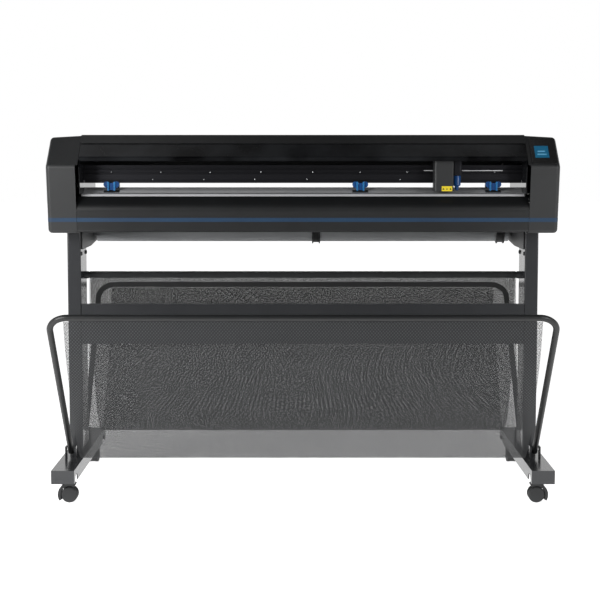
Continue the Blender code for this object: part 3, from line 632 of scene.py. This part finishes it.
@dataclass
class EndCovers:
    """The two moulded end housings with their stripe, seam, display and sockets."""

    inner: float = 0.6922
    outer: float = 0.790
    wall: float = 0.003
    edge: float = 0.0125
    droop: float = 0.0055
    seam: float = 0.9985
    cut_back: float = 0.0075

    def shell(self, side: int, name: str) -> Object:
        """Model one housing, open towards the middle, before it has its wall."""
        outline = rounded([(FRONT_FOOT[0], COVER_BOTTOM), NOSE, TOP_FRONT, TOP_REAR, REAR_SHOULDER,
                           (REAR_FOOT[0], COVER_BOTTOM)],
                          [0.014, 0.016, 0.014, 0.014, 0.014, 0.016], 7)
        obj = prism(name, outline, "X", side * self.inner, side * self.outer)
        with Editing(obj, "VERT", lambda v: abs(v.co.x) > 0.78 and v.co.z > TOP_FRONT[1] - 0.012):
            bpy.ops.transform.translate(value=(0, 0, -self.droop))
        with Editing(obj, "FACE", lambda f: abs(f.calc_center_median().x) < self.inner + 1e-4):
            bpy.ops.mesh.delete(type="ONLY_FACE")
        with Editing(obj, "VERT", lambda v: abs(v.co.x) < self.inner + 1e-4 and v.co.y < -0.150
                     and v.co.z < NOSE[1] + 0.004):
            bpy.ops.transform.translate(value=(side * self.cut_back, 0, 0))
        with Editing(obj, "EDGE", lambda e: all(abs(v.co.x) > self.outer - 1e-4 for v in e.verts)):
            bpy.ops.mesh.bevel(offset=self.edge, segments=7, profile=0.5, clamp_overlap=False)
        return obj

    def band(self, shell: Object, name: str, low: float, high: float, lift: float) -> Object:
        """Slice a band out of the shell between two heights and lift it off the surface."""
        obj = copied(shell, name)
        for height, keep_above in ((low, True), (high, False)):
            with Editing(obj):
                bpy.ops.mesh.bisect(plane_co=(0, 0, height), plane_no=(0, 0, 1),
                                    clear_inner=keep_above, clear_outer=not keep_above)
        with Editing(obj):
            bpy.ops.mesh.bisect(plane_co=(0, 0.170, 0), plane_no=(0, 1, 0), clear_outer=True)
        return apply_modifier(obj, "SOLIDIFY", thickness=lift, offset=1)

    def housing(self, side: int, word: str) -> None:
        """Build one housing with the openings of its CAD node."""
        node = f"{word}_end_cover"
        shell = self.shell(side, f"{node}_skin")
        stripe = self.band(shell, f"{word}_cover_stripe", STRIPE_LOW, STRIPE_HIGH, 0.0003)
        complete(stripe, BLUE_VINYL)
        apply_modifier(shell, "SOLIDIFY", thickness=self.wall, offset=-1)
        leg_low, leg_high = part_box(f"{word}_leg")
        room = 0.004
        carve(shell, box("leg_room", (leg_low.x - room, leg_low.y - room, 0.800),
                         (leg_high.x + room, leg_high.y + room, 0.8285)))
        beam_low, beam_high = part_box("base_beam")
        near = side * 0.600
        far = side * (beam_high.x + 0.0015)
        carve(shell, box("beam_room", (min(near, far), beam_low.y - 0.002, 0.8225),
                         (max(near, far), beam_high.y + 0.002, 0.8825)))
        for opening in ("power_inlet", "power_switch") if side > 0 else ():
            low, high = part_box(opening)
            gap = Vector((0.0005, 0, 0.0005))
            low, high = low - gap, high + gap
            carve(shell, box("opening", (low.x, 0.170, low.z), (high.x, 0.200, high.z)))
        complete(shell, COVER_ABS, "root", [node], 24)

    def seam_line(self, side: int, word: str) -> None:
        """Model the shadow gap where the housing's two mouldings meet."""
        shell = self.shell(side, "seam_shell")
        line = self.band(shell, f"{word}_cover_seam", self.seam - 0.0010, self.seam + 0.0010, 0.0002)
        bpy.data.objects.remove(shell, do_unlink=True)
        complete(line, BLACK_INK)

    def display(self) -> None:
        """Model the touch display: glass, lit panel and a few plain marks."""
        refined("touch_glass", DISPLAY_GLASS, "root", 0.0006, 2)
        along = (Vector((0, *TOP_FRONT)) - Vector((0, *NOSE))).normalized()
        out = Vector((0, -along.z, along.y))
        base = Vector((0, *NOSE)) + out * 0.0019

        def plate(name: str, left: float, right: float, low: float, high: float, lift: float,
                  finish: Finish) -> None:
            """Model one thin plate on the glass between these bounds along X and the slope."""
            outline = rounded([(left, low), (right, low), (right, high), (left, high)], [0.0012] * 4, 3)
            obj = chain(name, [Vector((u, 0, 0)) + base + along * v + out * lift for u, v in outline],
                        True)
            with Editing(obj):
                bpy.ops.mesh.extrude_region_move(TRANSFORM_OT_translate={"value": out * 0.0001})
            complete(face_out(obj), finish)

        plate("display_panel", 0.7160, 0.7590, 0.035, 0.090, 0.0, LIT_PANEL)
        for number, (left, right, low, high) in enumerate(
                ((0.7250, 0.7480, 0.062, 0.067), (0.7230, 0.7520, 0.048, 0.053)),
                start=1):
            plate(f"display_mark_{number}", left, right, low, high, 0.0003, LIT_MARK)

    def build(self) -> None:
        """Build both housings and the display."""
        for side, word in SIDES:
            self.housing(side, word)
            if side > 0:
                self.seam_line(side, word)
        self.display()


@dataclass
class HeadPanels:
    """The sheet panels and visor between the two housings."""

    half: float = 0.6915
    apron_half: float = 0.6990
    sheet: float = 0.002

    def panel(self, node: str, path: list[Point], radii: list[float], thickness: float,
              outward: Point, finish: Finish, half: float | None = None) -> None:
        """Model one folded panel with rounded folds and soft edges."""
        half = half or self.half
        obj = folded(f"{node}_skin", rounded(path, radii, 8, closed=False), -half, half,
                     thickness, outward)
        soften(obj, 0.0005, 2, 50)
        complete(obj, finish, "root", [node])

    def build(self) -> None:
        """Build the panels, the stripe and the slot's lip."""
        self.panel("top_cover", [(-0.1417, 1.0917), TOP_FRONT, TOP_REAR, REAR_SHOULDER,
                                 (0.190, 0.990)], [0, 0.010, 0.012, 0.012, 0], 0.003, (-0.6, 0.8),
                   PANEL_PAINT)
        self.panel("front_visor", [(-0.1430, 1.0906), (-0.1888, 1.0510), (-0.1906, 1.0390)],
                   [0, 0.008, 0], 0.003, (-0.6, 0.8), SMOKED_ACRYLIC)
        self.panel("front_apron", [(-0.1630, 0.9287), (-0.1942, 0.898), FRONT_FOOT, (-0.065, 0.819)],
                   [0, 0.030, 0.010, 0], self.sheet, (-0.7, 0.7), PANEL_PAINT, self.apron_half)
        self.panel("rear_panel", [(0.190, 0.940), REAR_FOOT, (0.174, 0.819), (0.085, 0.819)],
                   [0, 0.008, 0.008, 0], self.sheet, (1, 0), PANEL_PAINT)
        low, high = front_face(STRIPE_LOW), front_face(STRIPE_HIGH)
        stripe = prism("apron_stripe", [(low - 0.0003, STRIPE_LOW), (high - 0.0003, STRIPE_HIGH),
                                        (high + 0.0001, STRIPE_HIGH), (low + 0.0001, STRIPE_LOW)],
                       "X", -self.apron_half, self.apron_half)
        complete(stripe, BLUE_VINYL)


@dataclass
class MediaPath:
    """The table, guide beam, drum, belt and what is fixed to them."""

    screw_r: float = 0.0021
    upper: tuple = (-0.602, -0.445, -0.291, -0.131, 0.032, 0.180, 0.327, 0.602)
    lower: tuple = (-0.472, -0.310, -0.150, 0.013, 0.305)
    slots: tuple = (-0.461, -0.302, -0.140, 0.019, 0.313)

    def screw(self, name: str, x: float, z: float, front: float) -> Object:
        """Model one button-head screw that faces the front, with its socket."""
        r = self.screw_r
        obj = turned(name, [(0, -0.0002), (r, -0.0002), (r, 0.0008), (r * 0.8, 0.0014), (r * 0.55, 0.0016),
                            (r * 0.5, 0.0008), (0, 0.0008)], (x, front, z), "Y", 16)
        with Editing(obj):
            bpy.ops.transform.resize(value=(1, -1, 1), center_override=(x, front, z))
        return face_out(obj)

    def build(self) -> None:
        """Build the beam's screws, the table with its slots and the cutting strip."""
        refined("y_beam", BLACK_ANODISED, "root", 0.0004, 1)
        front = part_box("y_beam")[0].y
        screws = [self.screw(f"beam_screw_{i}", x, 1.0040, front) for i, x in enumerate(self.upper)]
        screws += [self.screw(f"lip_screw_{i}", x, 0.9812, front) for i, x in enumerate(self.lower)]
        complete(joined("beam_screws", *screws), ZINC_STEEL)
        table = merged_copy("platen", "platen_skin")
        soften(table, 0.0004, 1)
        for x in self.slots:
            carve(table, box("slot_cutter", (x - 0.008, -0.1290, 0.930), (x + 0.008, -0.1265, 0.945)))
        complete(table, SATIN_ALUMINIUM, "root", ["platen"])
        strip = prism("cutting_strip", [(-0.1385, 0.93845), (-0.1385, 0.9386), (-0.1310, 0.9393),
                                        (-0.1310, 0.93845)], "X", -0.664, 0.664)
        complete(strip, TYRE_RUBBER)
        # Partly painted highlight: a thin white strip along the beam's front, standing for a bright line
        # of shine
        rail = box("encoder_glint_strip", (0.380, front - 0.0003, 1.0072), (0.628, front + 0.0006, 1.0098))
        complete(rail, GLINT_WHITE_ACETAL)
        refined("drive_drum", GROUND_STEEL, "drum")
        for node, finish in (("drum_gear", GROUND_STEEL), ("motor_pinion", GROUND_STEEL),
                             ("drive_pulley", GROUND_STEEL), ("idler_pulley", GROUND_STEEL),
                             ("drive_belt", TYRE_RUBBER), ("y_motor", NYLON), ("x_motor", NYLON),
                             ("base_beam", BLACK_ANODISED), ("left_side_plate", PANEL_GLOSS),
                             ("right_side_plate", PANEL_GLOSS), ("control_board", SOLDER_MASK),
                             ("power_inlet", NYLON), ("power_switch", NYLON)):
            dress(node, finish)


def dress(node: str, finish: Finish) -> None:
    """Give a CAD node whose shape is right its finish."""
    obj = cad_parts[node]
    if not obj.material_slots:
        obj.data.materials.append(finish.material())
    for place in obj.material_slots:
        place.material = finish.material()


@dataclass
class Carriage:
    """The cutting carriage: plate, cover with its label, tool holder and blade."""

    label: tuple = (0.4298, 0.4628, 0.9455, 0.9612)

    def build(self) -> None:
        """Build the carriage's pieces."""
        refined("carriage_body", BLACK_ANODISED, "carriage", 0.0008, 2)
        low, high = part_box("carriage_cover")
        cover = box("carriage_cover_skin", low, high)
        for edge_x, width in ((low.x, 0.0095), (high.x, 0.0035)):
            with Editing(cover, "EDGE", lambda e: all(v.co.y < low.y + 1e-4
                         and abs(v.co.x - edge_x) < 1e-4 for v in e.verts)):
                bpy.ops.mesh.bevel(offset=width, segments=5, profile=0.5)
        with Editing(cover, "FACE", lambda f: f.normal.y > 0.9):
            bpy.ops.mesh.delete(type="FACE")
        soften(cover, 0.0022, 3, 50)
        apply_modifier(cover, "SOLIDIFY", thickness=0.0024, offset=-1)
        complete(cover, COVER_ABS, "carriage", ["carriage_cover"])
        left, right, bottom, top = self.label
        label = prism("carriage_label", rounded([(left, bottom), (right, bottom), (right, top),
                                                 (left, top)], [0.0015] * 4, 4),
                      "Y", low.y - 0.0003, low.y + 0.0002)
        complete(label, YELLOW_VINYL, "carriage")
        width = (right - left) / 3
        for number in range(3):
            start = left + width * (number + 0.24)
            mark = prism(f"label_mark_{number}", rounded(
                [(start, bottom + 0.0045), (start + width * 0.52, bottom + 0.0045),
                 (start + width * 0.26, top - 0.0045)], [0.0008] * 3, 3), "Y", low.y - 0.0005,
                low.y - 0.0002)
            complete(mark, BLACK_INK, "carriage")
        refined("tool_holder", BLACK_ANODISED, "tool", 0.0010, 2)
        low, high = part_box("blade_holder")
        x, by = (low.x + high.x) / 2, (low.y + high.y) / 2
        collar = turned("blade_holder_skin", [
            (0, 1.0200), (0.0045, 1.0200), (0.0055, 1.0190), (0.0075, 1.0160), (0.0075, 0.9930),
            (0.0112, 0.9926), (0.0120, 0.9916), (0.0120, 0.9640), (0.0112, 0.9630), (0.0062, 0.9592),
            (0.0058, 0.9560), (0.0045, 0.9480), (0.0012, 0.9465), (0, 0.9465)], (x, by, 0), "Z", 40)
        complete(collar, BLUE_ABS, "tool", ["blade_holder"])


@dataclass
class PinchUnits:
    """The three pinch arms with their grips, wheels and dark strips of painted shadow."""

    centres: tuple = (-0.600, 0.180, 0.597)
    finger_x: float = 0.0098
    shadow_half: float = 0.0245

    def build(self) -> None:
        """Build each unit: arm, wheel, two grips coloured a lighter blue as a painted highlight, and a
        dark strip under the wheel as painted shadow and reflection.
        """
        for number, x in enumerate(self.centres, start=1):
            arm, wheel = f"pinch_arm_{number}", f"pinch_wheel_{number}"
            refined(arm, BLUE_ABS, arm, 0.0012, 2, 40)
            refined(wheel, TYRE_RUBBER, wheel, 0.0006, 1)
            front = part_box(arm)[0].y
            fingers = []
            for side, _ in SIDES:
                middle = x + side * self.finger_x
                fingers.append(prism("finger", rounded(
                    [(middle - 0.0030, 0.9740), (middle - 0.0025, 0.9455), (middle + 0.0025, 0.9455),
                     (middle + 0.0030, 0.9740)], [0.0025] * 4, 4), "Y", front - 0.0042, front + 0.0004))
            grip = joined(f"pinch_grip_{number}", *fingers)
            soften(grip, 0.0008, 2, 50)
            # Painted highlight: the grips get the lighter blue
            complete(grip, HIGHLIGHT_BLUE_ABS, arm)
            # Painted shadow and reflection: a thin dark rubber strip on the table under the wheel
            patch = prism(f"painted_wheel_shadow_{number}", [(-0.1128, 0.9402), (-0.0990, 0.9472),
                                                   (-0.0990, 0.9477), (-0.1128, 0.9407)],
                          "X", x - self.shadow_half, x + self.shadow_half)
            complete(patch, TYRE_RUBBER)


# ---------------------------------------------------------------- stand and baskets

@dataclass
class Stand:
    """Legs, feet, cross beam, bar and roll rollers."""

    bolts_at: tuple = ((0.045, 0.7441), (-0.060, 0.7452))

    def bolts(self, side: int, word: str) -> None:
        """Model the two cap screws that hold the head to one leg's inner face."""
        face = side * min(abs(corner.x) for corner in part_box(f"{word}_leg"))
        heads = [turned(f"{word}_bolt_{i}", [(0, 0.0045), (0.0035, 0.0045), (0.0060, 0.0034),
                                             (0.0065, 0.0020), (0.0065, 0), (0, 0)],
                        (0, y, z), "X", 24) for i, (y, z) in enumerate(self.bolts_at)]
        screws = joined(f"{word}_leg_bolts", *heads)
        screws.scale.x = -side
        screws.location.x = face
        complete(face_out(settle(screws, screws.name)), NYLON)

    def build(self) -> None:
        """Build the stand's pieces."""
        for side, word in SIDES:
            refined(f"{word}_leg", POWDER_COAT, "root", 0.0012, 2)
            refined(f"{word}_foot", POWDER_COAT, "root", 0.0012, 2)
            refined(f"{word}_roller_bracket", NYLON, "root", 0.0006, 1)
            self.bolts(side, word)
        refined("cross_beam", POWDER_COAT, "root", 0.0010, 2)
        refined("roller_bar", POWDER_COAT, "root", 0.0006, 2)
        for node, body in (("front_roller", "front_roller"), ("back_roller", "back_roller")):
            refined(node, TUBE_ALUMINIUM, body, 0.0010, 2)
        for number in (1, 2):
            refined(f"media_flange_{number}", NYLON, f"flange_{number}", 0.0012, 2)


@dataclass
class Casters:
    """Four twin-wheel casters under moulded hoods."""

    gap: float = 0.0012
    wall: float = 0.0095
    lip: float = 0.0008
    sweep: tuple = (58, 212)

    def hood(self, side: int, end: int, word: str) -> None:
        """Model one hood: a thick arc over the wheels on the side of the stem."""
        low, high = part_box(f"{word}_caster_wheels")
        middle, reach = (low + high) / 2, (high.z - low.z) / 2 + self.gap
        axis, centre, lean = ("Y", middle.x, -side) if end < 0 else ("X", middle.y, 1)
        turns = [math.radians(self.sweep[0] + (self.sweep[1] - self.sweep[0]) * i / 24)
                 for i in range(25)]
        ring = [(centre + lean * r * math.cos(a), middle.z + r * math.sin(a))
                for r, way in ((reach, turns), (reach + self.wall, turns[::-1])) for a in way]
        near, far = (low.y, high.y) if end < 0 else (low.x, high.x)
        hood = prism(f"{word}_caster_hood", ring, axis, near + self.lip, far - self.lip)
        soften(hood, 0.0010, 2, 50)
        complete(hood, NYLON, f"{word}_swivel")

    def build(self) -> None:
        """Build each caster's body and wheels."""
        for end, end_word in ENDS:
            for side, side_word in SIDES:
                word = f"{end_word}_{side_word}"
                refined(f"{word}_caster_body", NYLON, f"{word}_swivel", 0.0010, 2)
                refined(f"{word}_caster_wheels", TYRE_RUBBER, f"{word}_wheels", 0.0012, 2)
                self.hood(side, end, word)


@dataclass
class Baskets:
    """Two folding tube frames and the net that hangs between each rail and the bar."""

    tube_r: float = 0.0095
    frame_x: float = 0.7295
    corner: float = 0.055
    rail: Point = (0.581, 0.594)
    pivot: Point = (0.169, 0.134)
    bar_z: float = 0.673
    half: float = 0.686
    knots: tuple = ((0.0122, 0.673), (0.022, 0.560), (0.040, 0.440), (0.090, 0.300), (0.160, 0.180),
                    (0.245, 0.124), (0.335, 0.180), (0.420, 0.290), (0.485, 0.385), (0.536, 0.470),
                    (0.566, 0.540), (0.580, 0.583))

    def frame_path(self, side: int) -> list[Vector]:
        """Points down the middle of one frame's tube, from its left foot to its right foot."""
        (pivot_y, pivot_z), (rail_y, rail_z) = self.pivot, self.rail
        lean = Vector((0, side * (rail_y - pivot_y), rail_z - pivot_z)).normalized()
        foot = Vector((self.frame_x, side * pivot_y, pivot_z)) - lean * 0.010
        corner = Vector((self.frame_x, side * rail_y, rail_z))
        centre = corner - lean * self.corner - Vector((self.corner, 0, 0))
        half = [foot]
        for step in range(17):
            angle = math.pi / 2 * step / 16
            half.append(centre + Vector((self.corner * math.cos(angle), 0, 0))
                        + lean * self.corner * math.sin(angle))
        return half + [Vector((-p.x, p.y, p.z)) for p in reversed(half)]

    def smooth(self) -> np.ndarray:
        """The net's section from the bar to the rail, close enough together to bend smoothly."""
        wrap = [(0.0122 * math.sin(a), self.bar_z + 0.0122 * math.cos(a))
                for a in (math.radians(d) for d in (3, 25, 45, 68))]
        knots = [Vector(k) for k in self.knots]
        line = [Vector(p) for p in wrap]
        for i in range(len(knots) - 1):
            before = knots[max(i - 1, 0)]
            after = knots[min(i + 2, len(knots) - 1)]
            a, b = knots[i], knots[i + 1]
            for step in range(12):
                t = step / 12
                line.append(((2 * a) + (b - before) * t + (2 * before - 5 * a + 4 * b - after) * t * t
                             + (3 * a - before - 3 * b + after) * t ** 3) / 2)
        line.append(knots[-1])
        return np.array([tuple(p) for p in line])

    def sheet(self, name: str, path: np.ndarray, side: int) -> tuple[Object, float]:
        """Lay one wall of net along a section, with its flat place in metres as its UV map.

        Args:
            name: the piece's name.
            path: (distance from the middle, height) points of the section.
            side: -1 in front, 1 behind.

        Returns:
            The wall and its length along the section.
        """
        obj = chain(name, [Vector((-self.half, side * y, z)) for y, z in path], False)
        with Editing(obj, "EDGE"):
            bpy.ops.mesh.extrude_region_move(TRANSFORM_OT_translate={"value": (2 * self.half, 0, 0)})
        runs = np.concatenate(([0], np.cumsum(np.linalg.norm(np.diff(path, axis=0), axis=1))))
        flat = obj.data.uv_layers.new(name="cut")
        for loop in obj.data.loops:
            point = obj.data.vertices[loop.vertex_index].co
            nearest = int(np.argmin((path[:, 0] - side * point.y) ** 2 + (path[:, 1] - point.z) ** 2))
            flat.data[loop.index].uv = (point.x + self.half, float(runs[nearest]))
        return obj, float(runs[-1])

    def net(self, side: int, word: str, rail: Object) -> None:
        """Build one basket's inner and outer walls, which meet at the lowest line."""
        line = self.smooth()
        lowest = int(np.argmin(line[:, 1]))
        for part, path in (("inner", line[:lowest + 1]), ("outer", line[lowest:])):
            obj, length = self.sheet(f"{word}_net_{part}", path, side)
            moving = part == "outer"
            complete(obj, NET_WALLS[word, part], "" if moving else "root", [f"net_{word}_{part}"],
                     60)
            if moving:
                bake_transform(obj)

    def build(self) -> None:
        """Build both baskets."""
        for side, word in ENDS:
            body = f"{word}_basket"
            rail = tube(f"{word}_frame_tube", self.frame_path(side), self.tube_r)
            complete(rail, TUBE_COAT, body, [f"{word}_frame"])
            self.net(side, word, rail)


# ---------------------------------------------------------------- studio

@dataclass
class Studio:
    """Pale floor, soft lights, white room and the camera."""

    place: tuple = (-0.009, -4.997, 1.055)
    down: float = 5.3
    lens: float = 93.3

    def floor(self) -> None:
        """Lay the pale floor."""
        deselect()
        bpy.ops.mesh.primitive_plane_add(size=60, location=(0, 0, -0.0005))
        self.glowing(bpy.context.object, "studio_floor", "Y", (-2.3, -1.5), (0.12, 0.92))

    def ceiling(self) -> None:
        """Hang a narrow strip of light over the head, bright at its ends and dark in the middle."""
        for side, word in SIDES:
            deselect()
            bpy.ops.mesh.primitive_plane_add(size=1, location=(0, 0.10, 3.0))
            strip = bpy.context.object
            reach = 1.25 if side < 0 else 0.93
            strip.scale, strip.location.x = (reach, 0.36, 1), side * reach / 2
            settle(strip, f"{word}_ceiling_strip")
            self.glowing(strip, strip.name, "X", (0.0, side * 1.25), (0.02, 0.72 if side < 0 else 0.52))

    def glowing(self, obj: Object, name: str, axis: str, places: Point, levels: Point) -> None:
        """Make an object of the studio glow by one level at one place and another at the next."""
        obj.name = name
        made = bpy.data.materials.new(name)
        made.use_nodes = True
        tree = made.node_tree
        shader = tree.nodes["Principled BSDF"]
        place = add_node(tree, "ShaderNodeTexCoord").outputs["Object"]
        parts = add_node(tree, "ShaderNodeSeparateXYZ", None, {"Vector": place})
        level = add_node(tree, "ShaderNodeMapRange",
                         {"From Min": places[0], "From Max": places[1], "To Min": levels[0],
                          "To Max": levels[1]}, {"Value": parts.outputs[axis]})
        shader.inputs["Roughness"].default_value = 0.9
        shader.inputs["Emission Color"].default_value = linear("#ffffff")
        tree.links.new(level.outputs["Result"], shader.inputs["Emission Strength"])
        tree.links.new(level.outputs["Result"], shader.inputs["Base Color"])
        obj.data.materials.append(made)

    def room(self) -> None:
        """Light from all round: bright at the horizon behind, dimmer above and in front."""
        world = bpy.data.worlds.new("studio_room")
        bpy.context.scene.world = world
        world.use_nodes = True
        tree = world.node_tree
        tree.nodes.clear()
        way = add_node(tree, "ShaderNodeTexCoord").outputs["Generated"]
        parts = add_node(tree, "ShaderNodeSeparateXYZ", None, {"Vector": way})
        behind = add_node(tree, "ShaderNodeMapRange", {"From Min": -0.5, "From Max": 0.5,
                                                       "To Min": 0.28, "To Max": 1.0},
                          {"Value": parts.outputs["Y"]}, interpolation_type="SMOOTHSTEP")
        above = add_node(tree, "ShaderNodeMapRange", {"From Min": 0.10, "From Max": 0.7,
                                                      "To Min": 1.0, "To Max": 0.10},
                         {"Value": parts.outputs["Z"]}, interpolation_type="SMOOTHSTEP")
        level = add_node(tree, "ShaderNodeMath", None, {0: behind.outputs["Result"],
                                                        1: above.outputs["Result"]},
                         operation="MULTIPLY")
        dim = add_node(tree, "ShaderNodeBackground", {"Color": (1, 1, 1, 1)},
                       {"Strength": level.outputs["Value"]})
        clear = add_node(tree, "ShaderNodeBackground", {"Color": (1, 1, 1, 1), "Strength": 1.0})
        seen = add_node(tree, "ShaderNodeLightPath").outputs["Is Camera Ray"]
        mix = add_node(tree, "ShaderNodeMixShader", None, {0: seen, 1: dim.outputs[0],
                                                          2: clear.outputs[0]})
        add_node(tree, "ShaderNodeOutputWorld", None, {"Surface": mix.outputs[0]})

    def soft_light(self, name: str, place: Sequence[float], aim: Sequence[float],
                   size: Sequence[float], power: float) -> None:
        """Add one soft box that points at a place."""
        light = bpy.data.lights.new(name, "AREA")
        light.shape = "RECTANGLE"
        light.size, light.size_y, light.energy = size[0], size[1], power
        obj = bpy.data.objects.new(name, light)
        obj.location = place
        obj.rotation_euler = (Vector(aim) - Vector(place)).to_track_quat("-Z", "Y").to_euler()
        bpy.context.scene.collection.objects.link(obj)

    def camera(self) -> None:
        """Set up the camera."""
        camera = bpy.data.cameras.new("camera")
        camera.lens, camera.sensor_width = self.lens, 36.0
        obj = bpy.data.objects.new("camera", camera)
        obj.location = self.place
        obj.rotation_euler = (math.radians(90 - self.down), 0, 0)
        bpy.context.scene.collection.objects.link(obj)
        bpy.context.scene.camera = obj

    def build(self) -> None:
        """Build the studio."""
        bpy.context.scene.view_settings.view_transform = "Standard"
        self.floor()
        self.room()
        self.soft_light("left_box", (-1.9, -1.9, 1.25), (-0.5, -0.2, 0.9), (1.0, 1.3), 52)
        self.soft_light("right_box", (1.9, -1.9, 1.25), (0.5, -0.2, 0.9), (1.0, 1.3), 24)
        self.ceiling()
        self.camera()


def main() -> None:
    """Build the cutter's pieces in order, then the studio."""
    logging.basicConfig(level=logging.INFO, format="%(message)s")
    Studio().build()
    EndCovers().build()
    HeadPanels().build()
    MediaPath().build()
    Carriage().build()
    PinchUnits().build()
    Stand().build()
    Casters().build()
    Baskets().build()


if __name__ == "__main__":
    main()
